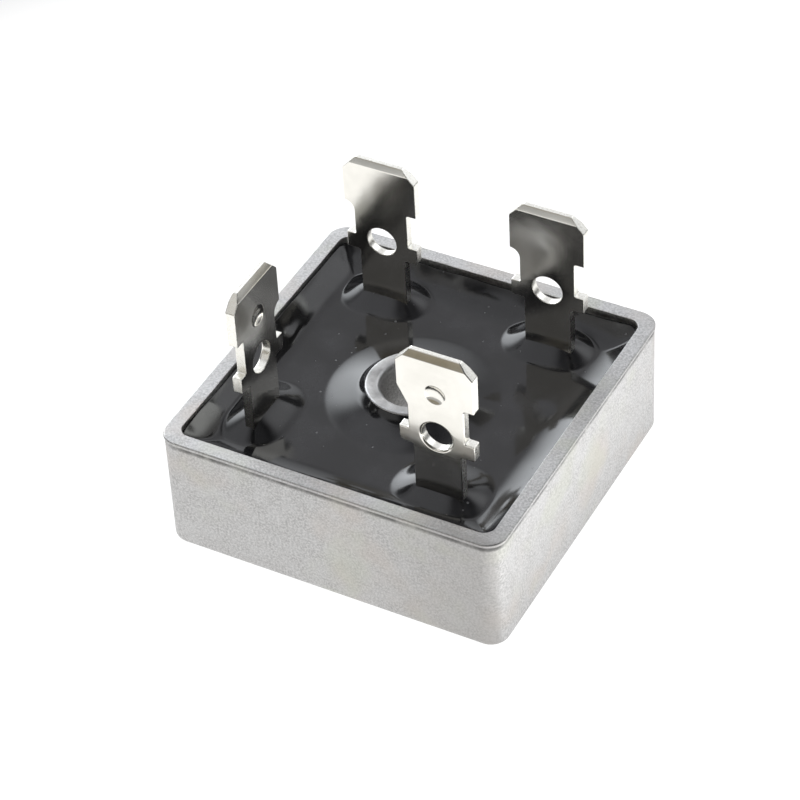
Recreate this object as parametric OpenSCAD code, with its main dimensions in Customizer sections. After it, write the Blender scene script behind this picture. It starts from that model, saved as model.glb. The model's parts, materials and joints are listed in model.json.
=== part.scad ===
// Square metal-case bridge rectifier with four quick-connect tabs, potted in black compound.
// Origin: the middle of the flat base. X runs along the front face, Y to the back, Z up.
// One tab, the positive one, is turned a quarter turn against the other three.

/* [Case] */
// Side of the square case
case_w = 28.5; // [27:0.1:30]
// Height of the rim above the base
case_h = 10.4; // [9.6:0.1:12]
// Thickness of the case walls
wall_t = 1.2; // [0.9:0.1:1.6]
// Thickness of the case floor
floor_t = 1.5; // [1.2:0.1:2]
// Radius of the outer corners, seen from above
corner_r = 1.6; // [1.3:0.1:2.5]
// Radius of the inner corners, seen from above
pocket_corner_r = 1; // [0.6:0.1:1.5]
// Radius of the edge between the base and the walls
base_edge_r = 0.5; // [0.3:0.1:0.8]
// Radius of the outer edge of the rim
rim_edge_r = 0.2; // [0.1:0.05:0.3]

/* [Screw boss] */
// Diameter of the screw hole
bore_d = 5.1; // [4.6:0.1:5.4]
// Outer diameter of the boss
boss_d = 7.4; // [7:0.1:8]
// Distance from the top of the boss up to the rim
boss_drop = 0.6; // [0.3:0.1:1]
// Chamfer at both ends of the screw hole
bore_chamfer = 0.3; // [0.2:0.05:0.4]

/* [Potting] */
// Distance from the level surface of the compound up to the rim
fill_drop = 1.9; // [1.5:0.1:2.2]
// Height that the compound climbs where it wets a wall
wall_climb = 1.3; // [0.6:0.1:1.4]
// Width of the climbing edge along the walls
wall_reach = 3; // [1.5:0.1:3.5]
// Height that the compound climbs around the boss
boss_climb = 0.9; // [0.4:0.1:1.1]
// Width of the climbing ring around the boss
boss_reach = 2.6; // [1.5:0.1:3]
// Height that the compound climbs around each tab
tab_climb = 1.2; // [0.6:0.1:1.4]
// Width of the mound around each tab
tab_reach = 2; // [1.2:0.1:2.4]

/* [Tabs] */
// Thickness of the strip that the tabs are stamped from
strip_t = 0.8; // [0.8:0.05:0.9]
// Width of a tab's head
head_w = 6.2; // [5.8:0.1:6.4]
// Width of the waist below the head
waist_w = 4.55; // [4.4:0.05:4.8]
// Width across the two cut ends of the tie bar
shoulder_w = 6.1; // [5.6:0.1:6.2]
// Width of the neck that enters the compound
neck_w = 3.9; // [3.6:0.1:4.2]
// Height of the tops of the tabs above the base
tab_top = 22.2; // [21.6:0.1:23]
// Length of a tab's head
head_h = 4.3; // [4:0.1:4.6]
// Length of the waist, from the head down to the shoulders
waist_h = 3.1; // [2.9:0.1:3.3]
// Length of the shoulders
shoulder_h = 1.4; // [1.1:0.1:1.6]
// Distance of each plate from the middle of the case
tab_plane = 9.15; // [8.8:0.05:9.3]
// Sideways distance of each tab from the middle of the case
tab_offset = 7.1; // [6.9:0.05:7.3]
// Diameter of the hole through each tab
tab_hole_d = 2.5; // [2:0.1:2.8]
// Height of the hole above the base
tab_hole_z = 14.7; // [14.5:0.1:15]
// Height of the catch dimple above the base
dimple_z = 18.7; // [18.4:0.1:19.2]
// Diameter of the catch dimple above the hole
dimple_d = 1.8; // [1.4:0.1:2.2]
// Depth of the catch dimple on the marked face
dimple_depth = 0.25; // [0.1:0.05:0.3]

/* [Bridge inside] */
// Side of each square diode die
die_w = 3.6; // [3:0.1:3.8]
// Thickness of a diode die
die_t = 0.35; // [0.3:0.05:0.5]
// Thickness of each solder layer
solder_t = 0.15; // [0.1:0.05:0.2]
// Thickness of the insulating sheet on the case floor
sheet_t = 0.3; // [0.2:0.05:0.5]
// Width of the flat arms that the tabs stand on
arm_w = 3.8; // [3.8:0.1:4]

/* [Hidden] */
$fn = 96;
HALF = case_w / 2;
POCKET = case_w - 2 * wall_t;
BOSS_TOP = case_h - boss_drop;
FILL_Z = case_h - fill_drop;
// Outer face of every tab plate, measured from the middle of the case
OUTER = tab_plane + strip_t / 2;
// Inner and outer radius of the bend between a tab and its arms
BEND_IN = 0.6;
BEND_OUT = BEND_IN + strip_t;
// Middle of each die, measured from the middle of the case
DIE_AT = OUTER - arm_w / 2;
// Stack heights, from the floor of the case upwards
LOWER_ARM_Z = floor_t + sheet_t;
LOWER_SOLDER_Z = LOWER_ARM_Z + strip_t;
DIE_Z = LOWER_SOLDER_Z + solder_t;
UPPER_SOLDER_Z = DIE_Z + die_t;
UPPER_ARM_Z = UPPER_SOLDER_Z + solder_t;
// Solder stands back from the edge of the die, and an arm runs past it
SOLDER_INSET = 0.3;
ARM_PAST_DIE = 0.4;
// Heights on a tab, from its top downwards
HEAD_Z = tab_top - head_h;
SHOULDER_TOP = HEAD_Z - waist_h;
SHOULDER_Z = SHOULDER_TOP - shoulder_h;
HEAD_OVERHANG = (head_w - waist_w) / 2;
// Tip of a tab: cut corners, and a bevel on both faces, deeper on the one with the dimple
TIP_CUT_W = 1.1;
TIP_CUT_H = 1.2;
TIP_BEVEL_H = 0.6;
TIP_BEVEL_MARKED = 0.3;
TIP_BEVEL_PLAIN = 0.2;
// Rolled edge of the tab hole on both faces
HOLE_ROLL = 0.15;
// Gap beside a neck where the strip is bent, and the gap round the boss in the sheet
RELIEF = 0.25;
SHEET_GAP = 0.6;
// Overlap that makes cutting tools run past a face
PAST = 1;
// Number of steps in a climbing edge and in the curved corners of a tab
CLIMB_STEPS = 6;
ARC_STEPS = 6;

SOLDER_COLOUR = "darkgray";
TIN_COLOUR = "gainsboro";

// ---- shared shapes ----

// A square with round corners, centred
module rounded_square(side, r) {
    square([side, side - 2 * r], center = true);
    square([side - 2 * r, side], center = true);
    for (x = [-1, 1], y = [-1, 1]) {
        translate([x * (side / 2 - r), y * (side / 2 - r)]) circle(r);
    }
}

// Half of the section through the case block: a round edge at the base and at the rim
module edge_profile(reach) {
    translate([0, base_edge_r]) square([reach, case_h - base_edge_r - rim_edge_r]);
    square([reach - base_edge_r, base_edge_r]);
    translate([reach - base_edge_r, base_edge_r]) circle(base_edge_r);
    translate([0, case_h - rim_edge_r]) square([reach - rim_edge_r, rim_edge_r]);
    translate([reach - rim_edge_r, case_h - rim_edge_r]) circle(rim_edge_r);
}

// Section of a climbing edge: full height at x = 0, level with the fill at x = reach
module climb_profile(climb, reach, flat = 0) {
    slope = [for (i = [0 : CLIMB_STEPS])
        let (t = i / CLIMB_STEPS) [flat + t * reach, climb * pow(1 - t, 2)]];
    polygon(concat([[0, -PAST], [0, climb]], slope, [[flat + reach, -PAST]]));
}

// Points of an arc about a centre
function arc(centre, r, from, to) =
    [for (i = [0 : ARC_STEPS])
        let (a = from + (to - from) * i / ARC_STEPS) centre + r * [cos(a), sin(a)]];

function reversed(list) = [for (i = [len(list) - 1 : -1 : 0]) list[i]];

// ---- case ----

// Solid block of the case: two crossing slabs and four turned corners
module case_block() {
    for (turn = [0, 90]) {
        rotate([90, 0, turn]) linear_extrude(case_w - 2 * corner_r, center = true) {
            edge_profile(HALF);
            mirror([1, 0]) edge_profile(HALF);
        }
    }
    for (x = [-1, 1], y = [-1, 1]) {
        translate([x * (HALF - corner_r), y * (HALF - corner_r), 0]) {
            rotate_extrude() {
                intersection() {
                    edge_profile(corner_r);
                    square([corner_r, case_h]);
                }
            }
        }
    }
}

// The room inside the walls, with the boss standing in it
module pocket() {
    difference() {
        translate([0, 0, floor_t]) linear_extrude(case_h) rounded_square(POCKET, pocket_corner_r);
        cylinder(d = boss_d, h = BOSS_TOP);
    }
}

module screw_hole() {
    translate([0, 0, -PAST]) cylinder(d = bore_d, h = case_h + 2 * PAST);
    cylinder(d1 = bore_d + 2 * bore_chamfer, d2 = bore_d, h = bore_chamfer);
    translate([0, 0, BOSS_TOP - bore_chamfer]) {
        cylinder(d1 = bore_d, d2 = bore_d + 2 * bore_chamfer, h = bore_chamfer);
    }
}

// Square aluminium cup with a hollow boss in its middle
module case() {
    color("silver") difference() {
        case_block();
        pocket();
        screw_hole();
    }
}

// ---- tabs and the arms that they stand on ----

// The underside of the head on one edge, from the waist outwards: a square step, a
// hollow curve or a long slope
function under_head(form) =
    form == "curve" ? arc([head_w / 2, HEAD_Z - HEAD_OVERHANG], HEAD_OVERHANG, 180, 90) :
    form == "slope" ? [[waist_w / 2, HEAD_Z - HEAD_OVERHANG], [head_w / 2, HEAD_Z + HEAD_OVERHANG]] :
    [[waist_w / 2, HEAD_Z], [head_w / 2, HEAD_Z]];

// Right edge of a tab's outline, from the bend up to the tip
function tab_edge(foot_z, form) = concat(
    [
        [neck_w / 2, foot_z],
        [neck_w / 2, SHOULDER_Z],
        [shoulder_w / 2, SHOULDER_Z],
        [shoulder_w / 2, SHOULDER_TOP],
        [waist_w / 2, SHOULDER_TOP]
    ],
    under_head(form),
    [
        [head_w / 2, tab_top - TIP_CUT_H],
        [head_w / 2 - TIP_CUT_W, tab_top]
    ]
);

// The same edge on the left, from the tip down to the bend
function left_edge(foot_z, form) = [for (p = reversed(tab_edge(foot_z, form))) [-p[0], p[1]]];

// Section through a tab and its bend; x runs into the case from the outer face
module strip_section(foot_z, marked) {
    bend_z = foot_z + BEND_OUT;
    outer_cut = marked == "outer" ? TIP_BEVEL_MARKED : TIP_BEVEL_PLAIN;
    inner_cut = marked == "inner" ? TIP_BEVEL_MARKED : TIP_BEVEL_PLAIN;
    polygon([
        [0, bend_z],
        [0, tab_top - TIP_BEVEL_H],
        [outer_cut, tab_top],
        [strip_t - inner_cut, tab_top],
        [strip_t, tab_top - TIP_BEVEL_H],
        [strip_t, bend_z]
    ]);
    translate([BEND_OUT, bend_z]) intersection() {
        difference() {
            circle(BEND_OUT);
            circle(BEND_IN);
        }
        translate([-BEND_OUT, -BEND_OUT]) square(BEND_OUT);
    }
}

// The upright part, standing at the front right of the case with its outer face to the front.
// forms holds the shape under the head on the left and on the right; marked names the
// face with the catch dimple, "outer" or "inner".
module upright(foot_z, forms, marked) {
    outline = concat(tab_edge(foot_z, forms[1]), left_edge(foot_z, forms[0]));
    translate([tab_offset, -OUTER, 0]) difference() {
        intersection() {
            rotate([90, 0, 90]) {
                linear_extrude(head_w + PAST, center = true) strip_section(foot_z, marked);
            }
            translate([0, BEND_OUT, 0]) rotate([90, 0, 0]) {
                linear_extrude(BEND_OUT) polygon(outline);
            }
        }
        tab_hole();
        catch_dimple(marked);
    }
}

module tab_hole() {
    hole_r = tab_hole_d / 2;
    translate([0, 0, tab_hole_z]) rotate([-90, 0, 0]) {
        translate([0, 0, -PAST]) cylinder(r = hole_r, h = strip_t + 2 * PAST);
        cylinder(r1 = hole_r + HOLE_ROLL, r2 = hole_r, h = HOLE_ROLL);
        translate([0, 0, strip_t - HOLE_ROLL]) {
            cylinder(r1 = hole_r, r2 = hole_r + HOLE_ROLL, h = HOLE_ROLL);
        }
    }
}

// Shallow round dimple on the marked face of a tab
module catch_dimple(marked) {
    ball_r = (pow(dimple_d / 2, 2) + pow(dimple_depth, 2)) / (2 * dimple_depth);
    ball_y = marked == "outer" ? dimple_depth - ball_r : strip_t + ball_r - dimple_depth;
    translate([0, ball_y, dimple_z]) sphere(ball_r);
}

// Two flat arms in an L, each ending over or under a die
module arms(foot_z) {
    arm_end = die_w / 2 + ARM_PAST_DIE;
    arm_length = OUTER + arm_end;
    neck_side = tab_offset - neck_w / 2;
    translate([0, 0, foot_z]) linear_extrude(strip_t) difference() {
        union() {
            translate([-arm_end, -OUTER]) square([arm_length, arm_w]);
            translate([OUTER - arm_w, -OUTER]) square([arm_w, arm_length]);
        }
        translate([neck_side - RELIEF, -OUTER - PAST]) square([OUTER, BEND_OUT + PAST]);
    }
}

// One stamped and bent piece
module terminal(foot_z, forms, marked = "outer") {
    color(TIN_COLOUR) {
        upright(foot_z, forms, marked);
        arms(foot_z);
    }
}

module terminal_ac_front() {
    terminal(UPPER_ARM_Z, ["slope", "step"]);
}

module terminal_ac_back() {
    rotate(180) terminal(UPPER_ARM_Z, ["step", "curve"]);
}

module terminal_negative() {
    mirror([0, 1, 0]) terminal(LOWER_ARM_Z, ["curve", "step"]);
}

// This one is turned a quarter turn, so that it can't be mistaken; its dimple faces inwards
module terminal_positive() {
    rotate(-90) terminal(LOWER_ARM_Z, ["curve", "step"], "inner");
}

// ---- bridge inside ----

// Puts a piece at the middle of one side; 0 is the front and each step goes a quarter turn on
module at_side(turn) {
    rotate(90 * turn) translate([0, -DIE_AT, 0]) children();
}

module die(turn) {
    color("dimgray") at_side(turn) {
        translate([-die_w / 2, -die_w / 2, DIE_Z]) cube([die_w, die_w, die_t]);
    }
}

module solder(turn, z) {
    pad_w = die_w - 2 * SOLDER_INSET;
    color(SOLDER_COLOUR) at_side(turn) {
        translate([-pad_w / 2, -pad_w / 2, z]) cube([pad_w, pad_w, solder_t]);
    }
}

// Insulating sheet under the lower arms, with a hole for the boss
module insulating_sheet() {
    sheet_w = 2 * OUTER + ARM_PAST_DIE * 2;
    color("ivory") translate([0, 0, floor_t]) difference() {
        translate([-sheet_w / 2, -sheet_w / 2, 0]) cube([sheet_w, sheet_w, sheet_t]);
        translate([0, 0, -PAST]) cylinder(d = boss_d + 2 * SHEET_GAP, h = sheet_t + 2 * PAST);
    }
}

module inner_parts() {
    insulating_sheet();
    terminal_positive();
    terminal_negative();
    terminal_ac_front();
    terminal_ac_back();
    for (turn = [0 : 3]) {
        die(turn);
        solder(turn, LOWER_SOLDER_Z);
        solder(turn, UPPER_SOLDER_Z);
    }
}

// ---- potting ----

// Mound of compound round a neck, along X and centred
module neck_mound() {
    half = neck_w / 2;
    rotate([90, 0, 90]) linear_extrude(neck_w, center = true) {
        climb_profile(tab_climb, tab_reach, strip_t / 2);
        mirror([1, 0]) climb_profile(tab_climb, tab_reach, strip_t / 2);
    }
    for (x = [-half, half]) {
        translate([x, 0, 0]) rotate_extrude() climb_profile(tab_climb, tab_reach, strip_t / 2);
    }
}

// Black compound that fills the case and climbs where it wets the metal
module potting() {
    color([0.09, 0.09, 0.1]) difference() {
        intersection() {
            pocket();
            union() {
                cylinder(r = case_w, h = FILL_Z);
                for (turn = [0 : 3]) {
                    rotate(90 * turn) translate([0, -POCKET / 2, FILL_Z]) rotate([90, 0, 90]) {
                        linear_extrude(POCKET, center = true) climb_profile(wall_climb, wall_reach);
                    }
                }
                translate([0, 0, FILL_Z]) {
                    rotate_extrude() climb_profile(boss_climb, boss_reach, boss_d / 2);
                    for (x = [-tab_offset, tab_offset]) {
                        translate([x, tab_plane, 0]) neck_mound();
                    }
                    translate([tab_offset, -tab_plane, 0]) neck_mound();
                    translate([-tab_plane, -tab_offset, 0]) rotate(90) neck_mound();
                }
            }
        }
        inner_parts();
    }
}

case();
insulating_sheet();
potting();
terminal_positive();
terminal_negative();
terminal_ac_front();
terminal_ac_back();
die(0);  // die_front
die(1);  // die_right
die(2);  // die_back
die(3);  // die_left
solder(0, LOWER_SOLDER_Z);  // solder_lower_front
solder(1, LOWER_SOLDER_Z);  // solder_lower_right
solder(2, LOWER_SOLDER_Z);  // solder_lower_back
solder(3, LOWER_SOLDER_Z);  // solder_lower_left
solder(0, UPPER_SOLDER_Z);  // solder_upper_front
solder(1, UPPER_SOLDER_Z);  // solder_upper_right
solder(2, UPPER_SOLDER_Z);  // solder_upper_back
solder(3, UPPER_SOLDER_Z);  // solder_upper_left
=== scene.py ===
"""Looks of a square metal-case bridge rectifier.

A cast aluminium cup with a screw boss, black potting with a glossy skin, and four tinned
quick-connect tabs. Lengths are in millimetres until a mesh or a lamp is made.
"""

import json
import math

import bmesh
import bpy
import numpy as np
from mathutils import Matrix, Vector, noise
from mathutils.geometry import delaunay_2d_cdt


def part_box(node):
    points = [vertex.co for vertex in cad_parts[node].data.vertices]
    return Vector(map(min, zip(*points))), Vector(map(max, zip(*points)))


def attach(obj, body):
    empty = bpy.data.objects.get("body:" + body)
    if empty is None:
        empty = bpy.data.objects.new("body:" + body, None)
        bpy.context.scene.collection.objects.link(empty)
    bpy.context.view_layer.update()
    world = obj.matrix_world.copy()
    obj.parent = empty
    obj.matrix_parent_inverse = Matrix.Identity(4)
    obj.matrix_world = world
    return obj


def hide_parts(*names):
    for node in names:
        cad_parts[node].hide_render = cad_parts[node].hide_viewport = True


MM = 0.001
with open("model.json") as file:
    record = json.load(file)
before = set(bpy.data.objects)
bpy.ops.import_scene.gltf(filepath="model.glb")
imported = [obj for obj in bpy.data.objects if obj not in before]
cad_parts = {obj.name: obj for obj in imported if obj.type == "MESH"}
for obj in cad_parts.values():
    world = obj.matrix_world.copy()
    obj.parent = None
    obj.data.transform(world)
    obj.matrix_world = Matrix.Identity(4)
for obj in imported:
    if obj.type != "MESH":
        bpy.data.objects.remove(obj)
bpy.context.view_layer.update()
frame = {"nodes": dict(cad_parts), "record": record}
mounts = {mount["name"]: mount for mount in frame["record"]["mounts"]}


def corner_mm(node, end, axis):
    """One coordinate of a CAD node's box; end is 0 for its lowest corner and 1 for its highest."""
    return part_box(node)[end][axis] / MM


def mount_mm(name):
    return Vector(mounts[name]["pos_m"]) / MM


# ---- sizes ----

HALF = corner_mm("case", 1, 0)
RIM_Z = corner_mm("case", 1, 2)
WALL_T = 1.2
FLOOR_T = corner_mm("insulating_sheet", 0, 2)
POCKET_HALF = HALF - WALL_T
OUTER_CORNER_R = 1.6
POCKET_CORNER_R = 1.0
BASE_EDGE_R = 0.5
BORE_R = mounts["screw_hole"]["dims"]["r_mm"]
BORE_CHAMFER = 0.3
BOSS_R = 3.7
BOSS_TOP = RIM_Z - 0.6
LIP_H = 0.38
LIP_INSET = 0.07
LIP_GROOVE = 0.08
GROOVE_Z = RIM_Z - LIP_H - 0.08
RIM_OUTER_R = 0.12
RIM_INNER_R = 0.06
BOSS_EDGE_R = 0.15
# How far the walls of the casting wander inwards: over long stretches and in small dents
CAST_SWELL, CAST_DENT = 0.03, 0.02
# What lies further out than this belongs to the walls
WALLS_FROM = POCKET_HALF - 0.01

FILL_Z = RIM_Z - 1.9
SKIN_TOP = RIM_Z - 0.12
WALL_CLIMB, WALL_REACH = 1.3, 3.0
# The skin climbs more steeply on the left wall, and less on the right one towards the back
LEFT_CLIMB, LEFT_REACH = 1.15 * WALL_CLIMB, 0.85 * WALL_REACH
RIGHT_BACK_SHARE = 0.66
RIGHT_RUN = 12
UNEVEN_SHARE = 0.12
RIPPLE = 0.012
BOSS_CLIMB, BOSS_REACH, BOSS_POWER = 0.76, 3.15, 1.4
BOSS_LEAN = 0.22
COLLAR_CLIMB, COLLAR_REACH = 0.3, 0.75
MOUND_H, MOUND_POWER = 1.0, 1.5
MOUND_CREST, MOUND_TURN = 1.2, 0.8
MOUND_END, MOUND_FRONT, MOUND_BACK = 2.7, 2.7, 3.6
MOUND_SHIFT = (-0.25, 0.42)
JOIN = 5.0

STRIP_T = 0.8
TAB_TOP = corner_mm("terminal_ac_front", 1, 2)
OUTER_FACE = -corner_mm("terminal_ac_front", 0, 1)
TAB_OFFSET = mount_mm("tab_ac_front").x
TAB_PLANE = OUTER_FACE - STRIP_T / 2
HOLE_Z = mount_mm("tab_hole_ac_front").z
HOLE_R = mounts["tab_hole_ac_front"]["dims"]["r_mm"]
HEAD_HALF, WAIST_HALF, SHOULDER_HALF, NECK_HALF = 3.1, 2.275, 3.05, 1.95
NECK_FOOT_Z = 8.0
HEAD_Z = TAB_TOP - 4.3
SHOULDER_TOP = HEAD_Z - 3.1
SHOULDER_Z = SHOULDER_TOP - 1.4
DIMPLE_Z, DIMPLE_R, DIMPLE_DEPTH = 18.7, 0.86, 0.25


# ---- mesh helpers ----


def add_object(name, mesh, materials):
    for material in materials:
        mesh.materials.append(material)
    piece = bpy.data.objects.new(name, mesh)
    bpy.context.scene.collection.objects.link(piece)
    return piece


def smooth_by_area(mesh):
    """Smooth shading in which large flat faces stay flat and narrow edge rounds turn between them."""
    count = len(mesh.polygons)
    mesh.polygons.foreach_set("use_smooth", [True] * count)
    normals = np.zeros((len(mesh.vertices), 3))
    for face in mesh.polygons:
        weighted = np.array(face.normal) * face.area
        for index in face.vertices:
            normals[index] += weighted
    lengths = np.linalg.norm(normals, axis=1, keepdims=True)
    normals = normals / np.maximum(lengths, 1e-20)
    mesh.normals_split_custom_set_from_vertices(normals)


def mesh_object(name, points, faces, materials):
    """A smooth-shaded mesh from points in millimetres."""
    mesh = bpy.data.meshes.new(name)
    mesh.from_pydata([Vector(p) * MM for p in points], [], faces)
    bm = bmesh.new()
    bm.from_mesh(mesh)
    bmesh.ops.recalc_face_normals(bm, faces=bm.faces)
    bm.to_mesh(mesh)
    bm.free()
    smooth_by_area(mesh)
    return add_object(name, mesh, materials)


def loft_faces(ring_count, ring_size, closed):
    """Quads between rings of points; closed joins the last ring to the first."""
    faces = []
    for ring in range(ring_count if closed else ring_count - 1):
        this = ring * ring_size
        following = (ring + 1) % ring_count * ring_size
        for i in range(ring_size):
            j = (i + 1) % ring_size
            faces.append((this + i, this + j, following + j, following + i))
    return faces


# ---- rings that go round the case ----


def ring_directions(per_side, per_corner):
    """Angles of the points on a ring, closer together at the corners of the square."""
    corner = math.radians(5)
    side = np.linspace(-math.pi / 4 + corner, math.pi / 4 - corner, per_side, endpoint=False)
    turn = np.linspace(math.pi / 4 - corner, math.pi / 4 + corner, per_corner, endpoint=False)
    quarter = np.concatenate([side, turn])
    return np.concatenate([quarter + k * math.pi / 2 for k in range(4)])


def square_ring(directions, half, corner_r):
    """Points where rays from the middle meet a square with round corners; a circle if corner_r is half."""
    c, s = np.abs(np.cos(directions)), np.abs(np.sin(directions))
    straight = half / np.maximum(c, s)
    centre = half - corner_r
    along = centre * (c + s)
    round_part = along + np.sqrt(np.maximum(along**2 - 2 * centre**2 + corner_r**2, 0))
    in_corner = np.minimum(c, s) * straight > centre
    reach = np.where(in_corner, round_part, straight)
    return np.stack([reach * np.cos(directions), reach * np.sin(directions)], axis=1)


def arc_steps(radius, start, end, steps):
    """Points of an arc about (0, 0), in degrees."""
    angles = np.radians(np.linspace(start, end, steps + 1))
    return [(radius * math.cos(a), radius * math.sin(a)) for a in angles]


# ---- node helpers ----


class Nodes:
    """Builds a material's or a world's nodes with short calls."""

    def __init__(self, tree):
        self.tree = tree
        tree.nodes.clear()

    def add(self, kind, settings=None, **inputs):
        node = self.tree.nodes.new(kind)
        for key, value in (settings or {}).items():
            setattr(node, key, value)
        for key, value in inputs.items():
            self.put(node, key.replace("_", " "), value)
        return node

    def put(self, node, key, value):
        socket = node.inputs[int(key[3:])] if key.startswith("in ") else node.inputs[key]
        if isinstance(value, bpy.types.NodeSocket):
            self.tree.links.new(value, socket)
        else:
            socket.default_value = value

    def math(self, operation, a, b=0.0, clamp=False):
        settings = {"operation": operation, "use_clamp": clamp}
        return self.add("ShaderNodeMath", settings, in_0=a, in_1=b).outputs[0]

    def ramp(self, value, low, high):
        """0 below low, 1 above high, smooth between."""
        settings = {"interpolation_type": "SMOOTHSTEP"}
        node = self.add("ShaderNodeMapRange", settings, Value=value, From_Min=low, From_Max=high)
        return node.outputs[0]

    def mix(self, factor, a, b):
        node = self.add("ShaderNodeMix", {"data_type": "RGBA"})
        self.put(node, "in 0", factor)
        self.put(node, "in 6", a)
        self.put(node, "in 7", b)
        return node.outputs[2]

    def vector(self, operation, a, b):
        return self.add("ShaderNodeVectorMath", {"operation": operation}, in_0=a, in_1=b)

    def length(self, value):
        return self.add("ShaderNodeVectorMath", {"operation": "LENGTH"}, in_0=value).outputs["Value"]

    def noise(self, where, scale, detail=3.0, roughness=0.5):
        node = self.add("ShaderNodeTexNoise", Vector=where, Scale=scale, Detail=detail, Roughness=roughness)
        return node.outputs[0]

    def place(self):
        """The point on the piece, in millimetres."""
        position = self.add("ShaderNodeTexCoord").outputs["Object"]
        scaled = self.add("ShaderNodeVectorMath", {"operation": "SCALE"}, in_0=position, Scale=1 / MM)
        return scaled.outputs[0]


def new_material(name):
    material = bpy.data.materials.new(name)
    material.use_nodes = True
    nodes = Nodes(material.node_tree)
    shader = nodes.add("ShaderNodeBsdfPrincipled")
    output = nodes.add("ShaderNodeOutputMaterial")
    nodes.tree.links.new(shader.outputs[0], output.inputs[0])
    return material, nodes, shader


def grey(value, warmth=0.0):
    return (value * (1 + warmth), value, value * (1 - warmth), 1.0)


# ---- materials ----


def cast_metal():
    """Cast aluminium: grain, mottling, faint stains, painted shade on the front face's right end and a
    painted shade band in the groove under the rim.
    """
    material, nodes, shader = new_material("cast aluminium")
    place = nodes.place()
    grain = nodes.noise(place, 5.5, 3.0, 0.7)
    mottle = nodes.noise(place, 0.7, 3.0, 0.6)
    base = nodes.mix(nodes.ramp(grain, 0.33, 0.67), grey(0.40, 0.01), grey(0.66, 0.01))
    base = nodes.mix(nodes.math("MULTIPLY", nodes.ramp(mottle, 0.35, 0.7), 0.35), base, grey(0.66))
    warm = nodes.ramp(nodes.noise(place, 0.16, 2.0, 0.5), 0.50, 0.70)
    base = nodes.mix(nodes.math("MULTIPLY", warm, 0.35), base, (0.60, 0.53, 0.47, 1))
    elsewhere = nodes.vector("ADD", place, (40, 11, 5)).outputs[0]
    green = nodes.ramp(nodes.noise(elsewhere, 0.2, 2.0, 0.5), 0.52, 0.70)
    base = nodes.mix(nodes.math("MULTIPLY", green, 0.3), base, (0.56, 0.58, 0.47, 1))
    x, y, height = nodes.add("ShaderNodeSeparateXYZ", Vector=place).outputs
    # Painted shade: the base colour darkens towards the right end of the front face.
    painted_shade_right_end = nodes.math("MULTIPLY", nodes.ramp(x, 0, HALF), nodes.ramp(y, 1 - HALF, 0.4 - HALF))
    base = nodes.mix(nodes.math("MULTIPLY", painted_shade_right_end, 0.45), base, (0.36, 0.345, 0.33, 1))
    flat = nodes.vector("MULTIPLY", place, (1, 1, 0)).outputs[0]
    near_axis = nodes.ramp(nodes.length(flat), BOSS_R + 0.3, BOSS_R)
    near_top = nodes.ramp(height, BOSS_TOP - 0.8, BOSS_TOP - 0.3)
    boss_face = nodes.math("MULTIPLY", near_axis, near_top)
    base = nodes.mix(nodes.math("MULTIPLY", boss_face, 0.6), base, grey(0.9))
    # Painted shade: a dark, patchy band along the groove under the rim lip, put into the base colour.
    off_groove = nodes.math("ABSOLUTE", nodes.math("SUBTRACT", height, GROOVE_Z))
    patchy = nodes.ramp(nodes.noise(place, 0.5, 3.0, 0.6), 0.25, 0.65)
    painted_groove_shade = nodes.math("MULTIPLY", nodes.ramp(off_groove, 0.32, 0.03), patchy)
    base = nodes.mix(nodes.math("MULTIPLY", painted_groove_shade, 0.75), base, grey(0.09))
    nodes.put(shader, "Base Color", base)
    nodes.put(shader, "Metallic", 1.0)
    rough = nodes.add("ShaderNodeMapRange", Value=grain, To_Min=0.42, To_Max=0.6).outputs[0]
    nodes.put(shader, "Roughness", rough)
    relief = nodes.math("ADD", grain, nodes.math("MULTIPLY", mottle, 0.6))
    bump = nodes.add("ShaderNodeBump", Strength=0.35, Distance=0.05 * MM, Height=relief)
    nodes.put(shader, "Normal", bump.outputs[0])
    return material


def potting_compound():
    """Black epoxy: a glossy skin with faint waves and dust specks."""
    material, nodes, shader = new_material("black epoxy")
    place = nodes.place()
    specks = nodes.add("ShaderNodeTexVoronoi", {"feature": "F1"}, Vector=place, Scale=1.5, Randomness=1.0)
    size = nodes.add("ShaderNodeSeparateColor", Color=specks.outputs["Color"])
    reach = nodes.math("MULTIPLY", nodes.math("POWER", size.outputs[0], 4.0), 0.16)
    speck = nodes.math("LESS_THAN", specks.outputs["Distance"], reach)
    haze = nodes.ramp(nodes.noise(place, 0.25, 3.0, 0.6), 0.35, 0.75)
    base = nodes.mix(haze, (0.009, 0.009, 0.010, 1), (0.028, 0.028, 0.031, 1))
    base = nodes.mix(nodes.math("MULTIPLY", speck, 0.5), base, (0.34, 0.34, 0.35, 1))
    nodes.put(shader, "Base Color", base)
    rough = nodes.add("ShaderNodeMapRange", Value=haze, To_Min=0.09, To_Max=0.17).outputs[0]
    nodes.put(shader, "Roughness", nodes.math("ADD", rough, nodes.math("MULTIPLY", speck, 0.4)))
    nodes.put(shader, "IOR", 1.54)
    waves = nodes.noise(place, 0.3, 1.0, 0.4)
    bump = nodes.add("ShaderNodeBump", Strength=0.3, Distance=0.03 * MM, Height=waves)
    surface = bump.outputs[0]
    dust = nodes.add("ShaderNodeBump", Strength=0.6, Distance=0.02 * MM, Height=speck, Normal=surface)
    nodes.put(shader, "Normal", dust.outputs[0])
    return material


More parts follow.
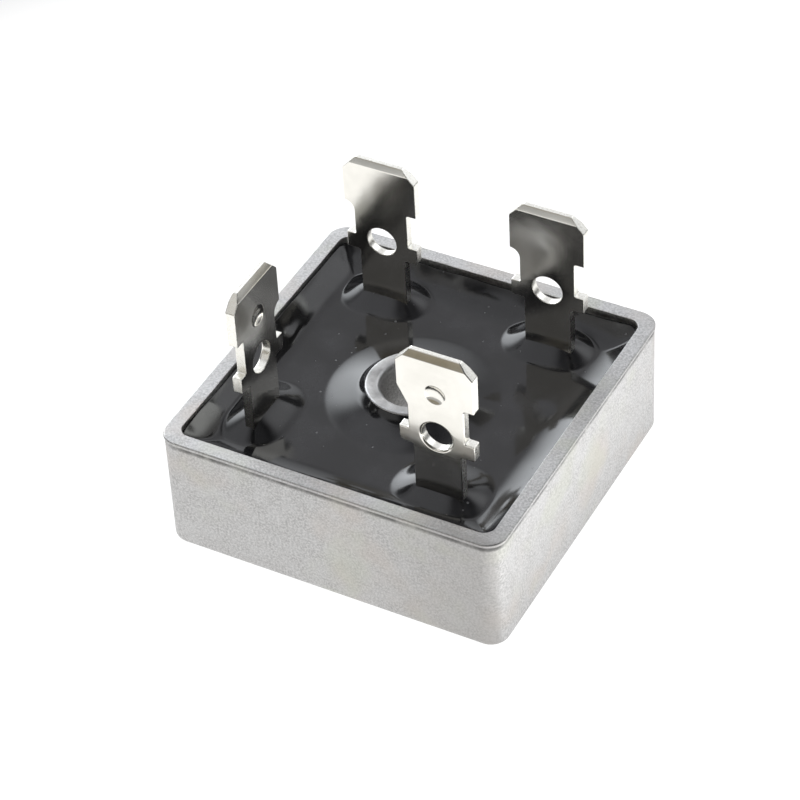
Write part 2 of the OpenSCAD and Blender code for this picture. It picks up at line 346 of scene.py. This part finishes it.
def tin_plate():
    """Bright tin on rolled strip: nearly a mirror, with faint rolling lines and soft waves."""
    material, nodes, shader = new_material("tin plate")
    place = nodes.place()
    stretched = nodes.add("ShaderNodeMapping", Vector=place)
    stretched.inputs["Scale"].default_value = (6.0, 6.0, 0.5)
    lines = nodes.noise(stretched.outputs[0], 1.6, 4.0, 0.6)
    cloud = nodes.noise(place, 0.45, 3.0, 0.55)
    base = nodes.mix(nodes.ramp(cloud, 0.3, 0.75), (0.86, 0.84, 0.78, 1), (0.95, 0.93, 0.87, 1))
    nodes.put(shader, "Base Color", base)
    nodes.put(shader, "Metallic", 1.0)
    rough = nodes.add("ShaderNodeMapRange", Value=cloud, To_Min=0.10, To_Max=0.2).outputs[0]
    nodes.put(shader, "Roughness", rough)
    waves = nodes.noise(place, 0.35, 1.0, 0.3)
    bend = nodes.add("ShaderNodeBump", Strength=0.35, Distance=0.08 * MM, Height=waves)
    surface = bend.outputs[0]
    bump = nodes.add("ShaderNodeBump", Strength=0.12, Distance=0.01 * MM, Height=lines, Normal=surface)
    nodes.put(shader, "Normal", bump.outputs[0])
    return material


def sheared_edge():
    """The cut edge of the strip: a fine mottle, less glossy than the faces."""
    material, nodes, shader = new_material("sheared edge")
    place = nodes.place()
    streaks = nodes.noise(place, 5.0, 3.0, 0.6)
    base = nodes.mix(nodes.ramp(streaks, 0.35, 0.7), (0.90, 0.885, 0.82, 1), (1.0, 0.99, 0.94, 1))
    nodes.put(shader, "Base Color", base)
    nodes.put(shader, "Metallic", 1.0)
    rough = nodes.add("ShaderNodeMapRange", Value=streaks, To_Min=0.22, To_Max=0.34).outputs[0]
    nodes.put(shader, "Roughness", rough)
    bump = nodes.add("ShaderNodeBump", Strength=0.2, Distance=0.005 * MM, Height=streaks)
    nodes.put(shader, "Normal", bump.outputs[0])
    return material


def grained(name, dark, light, scale, roughness, metallic=0.0):
    """A plain fine-grained material for the pieces inside the potting."""
    material, nodes, shader = new_material(name)
    grain = nodes.noise(nodes.place(), scale, 4.0, 0.6)
    nodes.put(shader, "Base Color", nodes.mix(nodes.ramp(grain, 0.3, 0.7), dark, light))
    nodes.put(shader, "Metallic", metallic)
    spread = nodes.add("ShaderNodeMapRange", Value=grain, To_Min=roughness - 0.08, To_Max=roughness + 0.08)
    nodes.put(shader, "Roughness", spread.outputs[0])
    bump = nodes.add("ShaderNodeBump", Strength=0.3, Distance=0.02 * MM, Height=grain)
    nodes.put(shader, "Normal", bump.outputs[0])
    return material


# ---- case ----


def case_section():
    """The wall's section as (half width, corner radius, height), from the bore outwards and back."""
    body = HALF - LIP_INSET
    body_r = OUTER_CORNER_R - LIP_INSET
    lip_z = RIM_Z - LIP_H
    section = [(BORE_R + BORE_CHAMFER, None, 0), (BORE_R + BORE_CHAMFER + 0.1, None, 0)]
    for x, z in arc_steps(BASE_EDGE_R, -90, 0, 8):
        inset = BASE_EDGE_R - x
        section.append((body - inset, body_r - inset, z + BASE_EDGE_R))
    section += [
        (body, body_r, lip_z - 0.4),
        (body - 0.01, body_r - 0.01, lip_z - 0.26),
        (body - LIP_GROOVE, body_r - LIP_GROOVE, lip_z - 0.12),
        (body - LIP_GROOVE, body_r - LIP_GROOVE, lip_z - 0.04),
        (HALF - 0.03, OUTER_CORNER_R - 0.03, lip_z + 0.06),
        (HALF, OUTER_CORNER_R, lip_z + 0.12),
    ]
    for x, z in arc_steps(RIM_OUTER_R, 0, 90, 5):
        inset = RIM_OUTER_R - x
        section.append((HALF - inset, OUTER_CORNER_R - inset, RIM_Z - RIM_OUTER_R + z))
    for x, z in arc_steps(RIM_INNER_R, 90, 180, 5):
        beyond = RIM_INNER_R + x
        section.append((POCKET_HALF + beyond, POCKET_CORNER_R + beyond, RIM_Z - RIM_INNER_R + z))
    section += [
        (POCKET_HALF, POCKET_CORNER_R, RIM_Z - 0.4),
        (POCKET_HALF, POCKET_CORNER_R, RIM_Z - 1.2),
        (POCKET_HALF, POCKET_CORNER_R, FLOOR_T),
        (BOSS_R, None, FLOOR_T),
        (BOSS_R, None, BOSS_TOP - 0.6),
    ]
    for x, z in arc_steps(BOSS_EDGE_R, 0, 90, 4):
        section.append((BOSS_R - BOSS_EDGE_R + x, None, BOSS_TOP - BOSS_EDGE_R + z))
    section += [
        (BORE_R + BORE_CHAMFER, None, BOSS_TOP),
        (BORE_R, None, BOSS_TOP - BORE_CHAMFER),
        (BORE_R, None, BORE_CHAMFER),
    ]
    return section


def build_case(material):
    directions = ring_directions(60, 20)
    rings = []
    for half, corner_r, z in case_section():
        flat = square_ring(directions, half, half if corner_r is None else corner_r)
        rings.append(np.column_stack([flat, np.full(len(flat), z)]))
    points = np.concatenate(rings)
    rough_cast(points)
    faces = loft_faces(len(rings), len(directions), closed=True)
    piece = mesh_object("case_shell", points, faces, [material])
    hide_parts("case")
    return piece


def rough_cast(points):
    """Pulls the upper walls in by a few hundredths, unevenly, as a casting has it."""
    for point in points:
        if max(abs(point[0]), abs(point[1])) < WALLS_FROM or point[2] < 1:
            continue
        swell = 0.5 + 0.5 * noise.noise(Vector(point) * 0.45)
        dent = 0.5 + 0.5 * noise.noise(Vector(point) * 1.7 + Vector((7, 3, 1)))
        shrink = CAST_SWELL * swell + CAST_DENT * dent
        for axis in (0, 1):
            if abs(point[axis]) > WALLS_FROM:
                point[axis] -= math.copysign(shrink, point[axis])
        if point[2] > RIM_Z - 0.1:
            point[2] -= 0.6 * shrink


# ---- potting ----


def climb(distance, height, reach, power=2.0):
    """Height of a wetting edge at a distance from what it wets."""
    t = np.clip(1 - distance / reach, 0, 1.6)
    return height * t**power


def past_crest(along):
    """How far a point lies beyond the crest of a mound, with a soft start."""
    beyond = np.abs(along) - MOUND_CREST
    return (beyond + np.hypot(beyond, MOUND_TURN) + MOUND_CREST - math.hypot(MOUND_CREST, MOUND_TURN)) / 2


def mound(along, behind):
    """Height of the hill round a neck: a low bell, drawn out along the neck and gentler behind it."""
    side = np.where(behind > 0, MOUND_BACK, MOUND_FRONT)
    from_middle = np.hypot(past_crest(along) / MOUND_END, behind / side)
    return MOUND_H * np.clip(1 - from_middle**MOUND_POWER, 0, 1) ** MOUND_POWER


def neck_places():
    """Middle of each neck and the direction in which it is wide."""
    along_x, along_y = (1, 0), (0, 1)
    return [
        (TAB_OFFSET, -TAB_PLANE, along_x),
        (-TAB_OFFSET, TAB_PLANE, along_x),
        (TAB_OFFSET, TAB_PLANE, along_x),
        (-TAB_PLANE, -TAB_OFFSET, along_y),
    ]


def compound_height(x, y):
    """Height of the potting's skin above the level fill."""
    wobble = np.array([noise.noise(Vector((a * 0.35, b * 0.35, 2.0))) for a, b in zip(x, y)])
    uneven = 1 + UNEVEN_SHARE * wobble
    to_front = np.clip(-y / RIGHT_RUN, 0, 1) ** 2
    right_climb = WALL_CLIMB * (RIGHT_BACK_SHARE + (1 - RIGHT_BACK_SHARE) * to_front)
    from_middle = np.hypot(x, y)
    from_boss = from_middle - BOSS_R
    lean = 1 - BOSS_LEAN * (x + y) / (from_middle * math.sqrt(2))
    ring = climb(from_boss, BOSS_CLIMB * lean, BOSS_REACH, BOSS_POWER)
    collar = climb(from_boss, COLLAR_CLIMB, COLLAR_REACH)
    parts = [
        climb(POCKET_HALF - x, right_climb * uneven, WALL_REACH),
        climb(POCKET_HALF + x, LEFT_CLIMB * uneven, LEFT_REACH),
        climb(POCKET_HALF - np.abs(y), WALL_CLIMB * uneven, WALL_REACH),
        ring + collar,
    ]
    for cx, cy, (wide_x, wide_y) in neck_places():
        dx, dy = x - cx - MOUND_SHIFT[0], y - cy - MOUND_SHIFT[1]
        parts.append(mound(dx * wide_x + dy * wide_y, dy * wide_x - dx * wide_y))
    together = sum(part**JOIN for part in parts) ** (1 / JOIN)
    return together + RIPPLE * wobble


def build_potting(material):
    directions = ring_directions(112, 16)
    inner = square_ring(directions, BOSS_R, BOSS_R)
    outer = square_ring(directions, POCKET_HALF, POCKET_CORNER_R)
    ring_count, crowding = 97, 1.25
    shares = np.linspace(0, 1, ring_count) ** crowding
    rings = []
    for share in shares:
        flat = inner * (1 - share) + outer * share
        z = FILL_Z + compound_height(flat[:, 0], flat[:, 1])
        rings.append(np.column_stack([flat, np.minimum(z, SKIN_TOP)]))
    bottom = np.full(len(directions), FLOOR_T)
    rings.append(np.column_stack([outer, bottom]))
    rings.append(np.column_stack([inner, bottom]))
    faces = loft_faces(len(rings), len(directions), closed=True)
    piece = mesh_object("potting_fill", np.concatenate(rings), faces, [material])
    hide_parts("potting")
    return piece


# ---- terminals ----

ROLLOVER_R = 0.09
BURR_R = 0.04
HOLE_ROLL = 0.2
HOLE_BURR_R = 0.06
SHOULDER_R = 0.12
SWELL_R, SWELL_H = 1.25, 0.006
INNERMOST_R = 0.06
HOLE_STEPS, DIMPLE_STEPS = 56, 48
TIP_CUT_W, TIP_CUT_H = 1.1, 1.2
TIP_BEVEL_H = 0.6
TIP_BEVEL_ROUND = 0.05
# Slope and curve of the bevel on each face
TIP_MARKED = (0.56, -0.15)
TIP_PLAIN = (0.22, 0.12)
ARM_W = 3.8
BEND_IN = 0.6
BEND_OUT = BEND_IN + STRIP_T
ARM_END = 2.2
RELIEF = 0.25


def under_head(form):
    """Edge below the head, from the waist outwards: (across, up, corner radius)."""
    overhang = HEAD_HALF - WAIST_HALF
    if form == "slope":
        return [(WAIST_HALF, HEAD_Z - overhang, 0.3), (HEAD_HALF, HEAD_Z + overhang, 0.3)]
    if form == "curve":
        hollow = [
            (HEAD_HALF + x, HEAD_Z - overhang + z, 0)
            for x, z in arc_steps(overhang, 180, 90, 8)
        ]
        return hollow[:-1] + [(HEAD_HALF, HEAD_Z, 0.1)]
    return [(WAIST_HALF, HEAD_Z, 0.18), (HEAD_HALF, HEAD_Z, 0.1)]


def side_corners(form, shoulder_r):
    """Corners of one side of a tab, from the foot up: (across, up, corner radius)."""
    return [
        (NECK_HALF, NECK_FOOT_Z, 0),
        (NECK_HALF, SHOULDER_Z, 0.2),
        (SHOULDER_HALF, SHOULDER_Z, shoulder_r),
        (SHOULDER_HALF, SHOULDER_TOP, 0.1),
        (WAIST_HALF, SHOULDER_TOP, 0.15),
        *under_head(form),
        (HEAD_HALF, TAB_TOP - TIP_CUT_H, 0.2),
        (HEAD_HALF - TIP_CUT_W, TAB_TOP, 0.2),
    ]


def rounded(corners):
    """The outline through these corners, each cut by an arc of its radius."""
    outline = []
    for i, (x, z, radius) in enumerate(corners):
        here = Vector((x, z))
        back = Vector(corners[i - 1][:2]) - here
        ahead = Vector(corners[(i + 1) % len(corners)][:2]) - here
        if radius == 0:
            outline.append(here)
            continue
        half_angle = back.angle(ahead) / 2
        cut = min(radius / math.tan(half_angle), 0.45 * back.length, 0.45 * ahead.length)
        start, end = here + back.normalized() * cut, here + ahead.normalized() * cut
        for step in range(7):
            t = step / 6
            outline.append(start * (1 - t) ** 2 + here * 2 * t * (1 - t) + end * t**2)
    return outline


def inset(outline, distance):
    """The outline moved inwards, corner by corner."""
    moved = []
    for i, here in enumerate(outline):
        before = (here - outline[i - 1]).normalized()
        after = (outline[(i + 1) % len(outline)] - here).normalized()
        normal = Vector((-(before.y + after.y), before.x + after.x)).normalized()
        spread = max(0.35, math.sqrt(max(0.0, (1 + before.dot(after)) / 2)))
        moved.append(here + normal * (distance / spread))
    return moved


def circle_loop(centre_z, radius, steps):
    angles = [2 * math.pi * i / steps for i in range(steps)]
    return [Vector((radius * math.cos(a), centre_z + radius * math.sin(a))) for a in angles]


class TabMesh:
    """Collects the points and faces of one terminal in the tab's own axes: across, depth, up."""

    def __init__(self):
        self.points = []
        self.faces = []
        self.slots = []

    def loop(self, outline, depth):
        first = len(self.points)
        self.points += [(p.x, depth, p.y) for p in outline]
        return list(range(first, len(self.points)))

    def bridge(self, a, b, slot=0):
        for i in range(len(a)):
            j = (i + 1) % len(a)
            self.faces.append((a[i], a[j], b[j], b[i]))
            self.slots.append(slot)

    def cap(self, loops, depth):
        """Fills the flat face between an outer loop and the loops in it."""
        flat, edges, order = [], [], []
        for loop in loops:
            start = len(flat)
            flat += [Vector((self.points[i][0], self.points[i][2])) for i in loop]
            order += loop
            edges += [(start + k, start + (k + 1) % len(loop)) for k in range(len(loop))]
        result = delaunay_2d_cdt(flat, edges, [], 1, 1e-5)
        place = {}
        for index, sources in enumerate(result[3]):
            if sources:
                place[index] = order[sources[0]]
            else:
                place[index] = len(self.points)
                self.points.append((result[0][index].x, depth, result[0][index].y))
        inner_loops = [set(loop) for loop in loops[1:]]
        for triangle in result[2]:
            corners = {place[k] for k in triangle}
            if not any(corners <= loop for loop in inner_loops):
                self.faces.append(tuple(place[k] for k in triangle))
                self.slots.append(0)


def edge_round(radius, angles):
    """(inset, depth) of the steps round an edge, from the face at 0 degrees to the cut at 90."""
    return [(radius * (1 - math.sin(a)), radius * (1 - math.cos(a))) for a in np.radians(angles)]


def far_edge_round(radius):
    """The same on the other face, from the cut back to that face."""
    return [(inset, STRIP_T - depth) for inset, depth in edge_round(radius, [90, 45, 0])]


def edge_steps():
    """(inset, depth) of the loops round a tab, from its outer face to its inner one."""
    torn = [(0, 0.2), (0.01, 0.3), (0.006, 0.6)]
    return edge_round(ROLLOVER_R, [0, 22, 45, 67, 90]) + torn + far_edge_round(BURR_R)


def dimple_depth(radius):
    """Depth of the catch dimple: a shallow ball's print."""
    ball = (DIMPLE_R**2 + DIMPLE_DEPTH**2) / (2 * DIMPLE_DEPTH)
    return math.sqrt(ball**2 - min(radius, DIMPLE_R) ** 2) - (ball - DIMPLE_DEPTH)


def swelling(radius):
    """Height of the faint round swelling that the punch leaves on the other face."""
    t = min(radius / SWELL_R, 1.0)
    return SWELL_H * (1 - t * t) ** 2


def add_dimple(tab, face_depth, inward, marked):
    """Rings of the dimple on the marked face, or of the swelling on the other; returns the outer loop."""
    if marked:
        radii = [DIMPLE_R + 0.05] + list(np.linspace(DIMPLE_R, INNERMOST_R, 12))
        depths = [inward * dimple_depth(radius) for radius in radii]
    else:
        radii = list(np.linspace(SWELL_R + 0.05, INNERMOST_R, 16))
        depths = [-inward * swelling(radius) for radius in radii]
    loops = []
    for radius, depth in zip(radii, depths):
        loops.append(tab.loop(circle_loop(DIMPLE_Z, radius, DIMPLE_STEPS), face_depth + depth))
    for a, b in zip(loops, loops[1:]):
        tab.bridge(a, b)
    tab.faces.append(tuple(loops[-1]))
    tab.slots.append(0)
    return loops[0]


def add_hole(tab):
    """The hole through the plate with its rolled edges; returns its loop on each face."""
    roll = edge_round(HOLE_ROLL, [0, 18, 36, 54, 72, 90])
    loops = []
    for wider, depth in roll + far_edge_round(HOLE_BURR_R):
        loops.append(tab.loop(circle_loop(HOLE_Z, HOLE_R + wider, HOLE_STEPS), depth))
    for number, (a, b) in enumerate(zip(loops, loops[1:])):
        tab.bridge(a, b, slot=1 if number >= len(roll) - 1 else 0)
    return loops[0], loops[-1]


def add_bend(tab, foot_z):
    """The neck below the potting's skin and the bend that leads into the arms."""
    bend_z = foot_z + BEND_OUT
    rows = [((0.0, NECK_FOOT_Z), (STRIP_T, NECK_FOOT_Z))]
    for angle in np.radians(np.linspace(0, 90, 7)):
        outer, inner = [
            (BEND_OUT - radius * math.cos(angle), bend_z - radius * math.sin(angle))
            for radius in (BEND_OUT, BEND_IN)
        ]
        rows.append((outer, inner))
    loops = []
    for outer, inner in rows:
        first = len(tab.points)
        tab.points += [(-NECK_HALF, *outer), (NECK_HALF, *outer), (NECK_HALF, *inner), (-NECK_HALF, *inner)]
        loops.append(list(range(first, first + 4)))
    for a, b in zip(loops, loops[1:]):
        tab.bridge(a, b)
    tab.faces.append(tuple(reversed(loops[-1])))
    tab.slots.append(0)


def add_arms(tab, foot_z):
    """The two flat arms, in an L."""
    near, far = -TAB_OFFSET - ARM_END, OUTER_FACE - TAB_OFFSET
    back = OUTER_FACE + ARM_END
    shape = [
        (near, 0), (-NECK_HALF - RELIEF, 0), (-NECK_HALF - RELIEF, BEND_OUT), (far, BEND_OUT),
        (far, back), (far - ARM_W, back), (far - ARM_W, ARM_W), (near, ARM_W),
    ]
    low = len(tab.points)
    tab.points += [(across, depth, foot_z) for across, depth in shape]
    high = len(tab.points)
    tab.points += [(across, depth, foot_z + STRIP_T) for across, depth in shape]
    count = len(shape)
    tab.faces += [tuple(range(low, low + count)), tuple(range(high, high + count))]
    tab.slots += [0, 0]
    for i in range(count):
        j = (i + 1) % count
        tab.faces.append((low + i, low + j, high + j, high + i))
        tab.slots.append(1)


def tab_mesh(left_form, right_form, left_shoulder_r, marked_outside):
    right = side_corners(right_form, SHOULDER_R)
    left = [(-x, z, r) for x, z, r in reversed(side_corners(left_form, left_shoulder_r))]
    outline = rounded(right + left)
    tab = TabMesh()
    loops = [tab.loop(inset(outline, distance), depth) for distance, depth in edge_steps()]
    rolled_bands = 3
    for number, (a, b) in enumerate(zip(loops, loops[1:])):
        tab.bridge(a, b, slot=1 if number >= rolled_bands else 0)
    hole_front, hole_back = add_hole(tab)
    dimple_front = add_dimple(tab, 0.0, 1, marked_outside)
    dimple_back = add_dimple(tab, STRIP_T, -1, not marked_outside)
    tab.cap([loops[0], hole_front, dimple_front], 0.0)
    tab.cap([loops[-1], hole_back, dimple_back], STRIP_T)
    return tab


def bevel_tip(bm, marked_outside):
    """Thins the tip of the tab, most on the marked face, with a tight round where the bevel starts."""
    start = TAB_TOP - TIP_BEVEL_H
    for step in (-TIP_BEVEL_ROUND, -0.02, 0.02, TIP_BEVEL_ROUND, 0.25, 0.43):
        geometry = bm.verts[:] + bm.edges[:] + bm.faces[:]
        level = (0, 0, start + step)
        bmesh.ops.bisect_plane(bm, geom=geometry, dist=1e-6, plane_co=level, plane_no=(0, 0, 1))
    for vert in bm.verts:
        past = vert.co.z - start
        if past <= -TIP_BEVEL_ROUND:
            continue
        in_round = (past + TIP_BEVEL_ROUND) ** 2 / (4 * TIP_BEVEL_ROUND)
        run = past if past >= TIP_BEVEL_ROUND else in_round
        marked, plain = (slope * run + curve * run**2 for slope, curve in (TIP_MARKED, TIP_PLAIN))
        outer, inner = (marked, plain) if marked_outside else (plain, marked)
        share = vert.co.y / STRIP_T
        vert.co.y = outer + share * (STRIP_T - outer - inner)


def build_terminal(node, forms, placement, materials, shoulder_r=SHOULDER_R, marked_outside=True):
    tab = tab_mesh(*forms, shoulder_r, marked_outside)
    foot_z = corner_mm(node, 0, 2)
    add_bend(tab, foot_z)
    add_arms(tab, foot_z)
    mesh = bpy.data.meshes.new(node + "_strip")
    mesh.from_pydata(tab.points, [], tab.faces)
    mesh.polygons.foreach_set("material_index", tab.slots)
    bm = bmesh.new()
    bm.from_mesh(mesh)
    bmesh.ops.remove_doubles(bm, verts=bm.verts, dist=1e-4)
    bevel_tip(bm, marked_outside)
    home = Matrix.Translation((TAB_OFFSET, -OUTER_FACE, 0))
    bmesh.ops.transform(bm, matrix=Matrix.Scale(MM, 4) @ placement @ home, verts=bm.verts)
    bmesh.ops.recalc_face_normals(bm, faces=bm.faces)
    bm.to_mesh(mesh)
    bm.free()
    smooth_by_area(mesh)
    piece = add_object(node + "_strip", mesh, materials)
    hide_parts(node)
    return piece


# ---- floor, light and camera ----


FLOOR_R = 3000
FLOOR_STEPS = 64
TABLE_LIGHT = 1.03
# What is added to the right of the case, and the stretches along x and y in which that sets in
RIGHT_LIGHT = 0.9
RIGHT_LIGHT_X, RIGHT_LIGHT_Y = (12, 28), (30, 18)
# Distances from the middle between which the light falls off, and what is left beyond them
TABLE_FADE = (110, 66)
FAR_LIGHT = 0.3


def build_floor():
    """A round white table that gives its own light, and gets darker far away."""
    turns = [2 * math.pi * i / FLOOR_STEPS for i in range(FLOOR_STEPS)]
    points = [(FLOOR_R * math.cos(turn), FLOOR_R * math.sin(turn), 0) for turn in turns]
    material, nodes, shader = new_material("white table")
    nodes.put(shader, "Base Color", grey(0.12))
    nodes.put(shader, "Roughness", 0.9)
    nodes.put(shader, "Emission Color", grey(1.0))
    place = nodes.place()
    x, y, _ = nodes.add("ShaderNodeSeparateXYZ", Vector=place).outputs
    right_side = nodes.math("MULTIPLY", nodes.ramp(x, *RIGHT_LIGHT_X), nodes.ramp(y, *RIGHT_LIGHT_Y))
    near = nodes.math("ADD", nodes.math("MULTIPLY", right_side, RIGHT_LIGHT), TABLE_LIGHT)
    faded = nodes.math("MULTIPLY", near, nodes.ramp(nodes.length(place), *TABLE_FADE))
    nodes.put(shader, "Emission Strength", nodes.math("MAXIMUM", faded, FAR_LIGHT))
    floor = mesh_object("floor", points, [tuple(range(FLOOR_STEPS))], [material])


def soft_panel(nodes, azimuth, elevation, turn, reach, rise, soft):
    """1 inside a panel of the sky and 0 outside, with soft edges; all in degrees."""
    apart = nodes.math("ABSOLUTE", nodes.math("SUBTRACT", azimuth, turn))
    from_middle = nodes.math("MINIMUM", apart, nodes.math("SUBTRACT", 360.0, apart))
    low, high = rise
    sideways = nodes.ramp(from_middle, reach + soft, reach - soft)
    over = nodes.ramp(elevation, low - soft, low + soft)
    under = nodes.ramp(elevation, high + soft, high - soft)
    return nodes.math("MULTIPLY", sideways, nodes.math("MULTIPLY", over, under))


# Parts of the room: middle azimuth from +X towards +Y, half width, lowest and highest elevation,
# softness of the edge, all in degrees, and the colour of the light
ROOM_DARK = (0.07, 0.07, 0.07, 1)
ROOM_CEILING = (0.22, 0.22, 0.23, 1)
ROOM_PARTS = [
    (92, 36, (-20, 34), 9, (0.95, 0.97, 1.0, 1)),
    (100, 42, (34, 60), 9, (0.86, 0.86, 0.89, 1)),
    (-122, 26, (14, 54), 8, (0.66, 0.65, 0.64, 1)),
    (-110, 40, (-20, 12), 8, (0.27, 0.24, 0.18, 1)),
    (174, 52, (46, 76), 8, (0.95, 0.96, 1.0, 1)),
    (54, 23, (17, 50), 7, (1.5, 1.52, 1.56, 1)),
    (151, 22, (-20, 40), 8, (3.9, 4.05, 4.2, 1)),
]


def build_world():
    """A dark room with light back walls, bright windows at the back left and the back right, a light
    ceiling on the left and a dim front left; the front right stays dark."""
    world = bpy.data.worlds.new("studio")
    bpy.context.scene.world = world
    world.use_nodes = True
    nodes = Nodes(world.node_tree)
    direction = nodes.add("ShaderNodeTexCoord").outputs["Generated"]
    x, y, z = nodes.add("ShaderNodeSeparateXYZ", Vector=direction).outputs
    to_degrees = 180 / math.pi
    azimuth = nodes.math("MULTIPLY", nodes.math("ARCTAN2", y, x), to_degrees)
    elevation = nodes.math("MULTIPLY", nodes.math("ARCSINE", z), to_degrees)
    room = nodes.mix(nodes.ramp(elevation, 60, 80), ROOM_DARK, ROOM_CEILING)
    for turn, reach, rise, soft, colour in ROOM_PARTS:
        room = nodes.mix(soft_panel(nodes, azimuth, elevation, turn, reach, rise, soft), room, colour)
    background = nodes.add("ShaderNodeBackground", Color=room, Strength=1.0)
    output = nodes.add("ShaderNodeOutputWorld")
    nodes.tree.links.new(background.outputs[0], output.inputs[0])


def build_camera():
    azimuth, elevation, roll = map(math.radians, (30.03, 41.29, -3.40))
    distance, across, up_shift = 235.4, 1.197, -1.881
    target = Vector((0, 0, 5.5))
    level_back = Vector((math.sin(azimuth), -math.cos(azimuth), 0))
    back = level_back * math.cos(elevation) + Vector((0, 0, math.sin(elevation)))
    right = Vector((math.cos(azimuth), math.sin(azimuth), 0))
    up = back.cross(right)
    rolled_right = right * math.cos(roll) + up * math.sin(roll)
    rolled_up = up * math.cos(roll) - right * math.sin(roll)
    data = bpy.data.cameras.new("camera")
    data.sensor_width = 36
    data.lens = 138.2
    data.clip_start, data.clip_end = 0.01, 10
    camera = bpy.data.objects.new("camera", data)
    bpy.context.scene.collection.objects.link(camera)
    place = target - rolled_right * across - rolled_up * up_shift + back * distance
    turn = Matrix((rolled_right, rolled_up, back)).transposed().to_4x4()
    camera.matrix_world = Matrix.Translation(place * MM) @ turn
    bpy.context.scene.camera = camera


# ---- the whole ----

metal = cast_metal()
epoxy = potting_compound()
tin = tin_plate()
edge = sheared_edge()
strip = [tin, edge]

pieces = [
    build_case(metal),
    build_potting(epoxy),
    build_terminal("terminal_ac_front", ("slope", "step"), Matrix.Identity(4), strip, shoulder_r=0.5),
    build_terminal("terminal_ac_back", ("step", "curve"), Matrix.Rotation(math.pi, 4, "Z"), strip),
    build_terminal("terminal_negative", ("curve", "step"), Matrix.Scale(-1, 4, (0, 1, 0)), strip),
    build_terminal("terminal_positive", ("curve", "step"), Matrix.Rotation(-math.pi / 2, 4, "Z"), strip,
                   marked_outside=False),
]
for piece in pieces:
    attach(piece, "root")

inner_finish = {
    "insulating_sheet": grained("insulating sheet", (0.78, 0.74, 0.62, 1), (0.86, 0.83, 0.74, 1), 2.0, 0.7),
    "die": grained("silicon die", grey(0.07), (0.16, 0.16, 0.19, 1), 4.0, 0.4),
    "solder": grained("solder", grey(0.45), grey(0.66), 3.0, 0.35, metallic=1.0),
}
for name, node in frame["nodes"].items():
    for start, material in inner_finish.items():
        if name.startswith(start):
            node.data.materials.clear()
            node.data.materials.append(material)

build_floor()
build_world()
build_camera()
bpy.context.scene.view_settings.view_transform = "Standard"
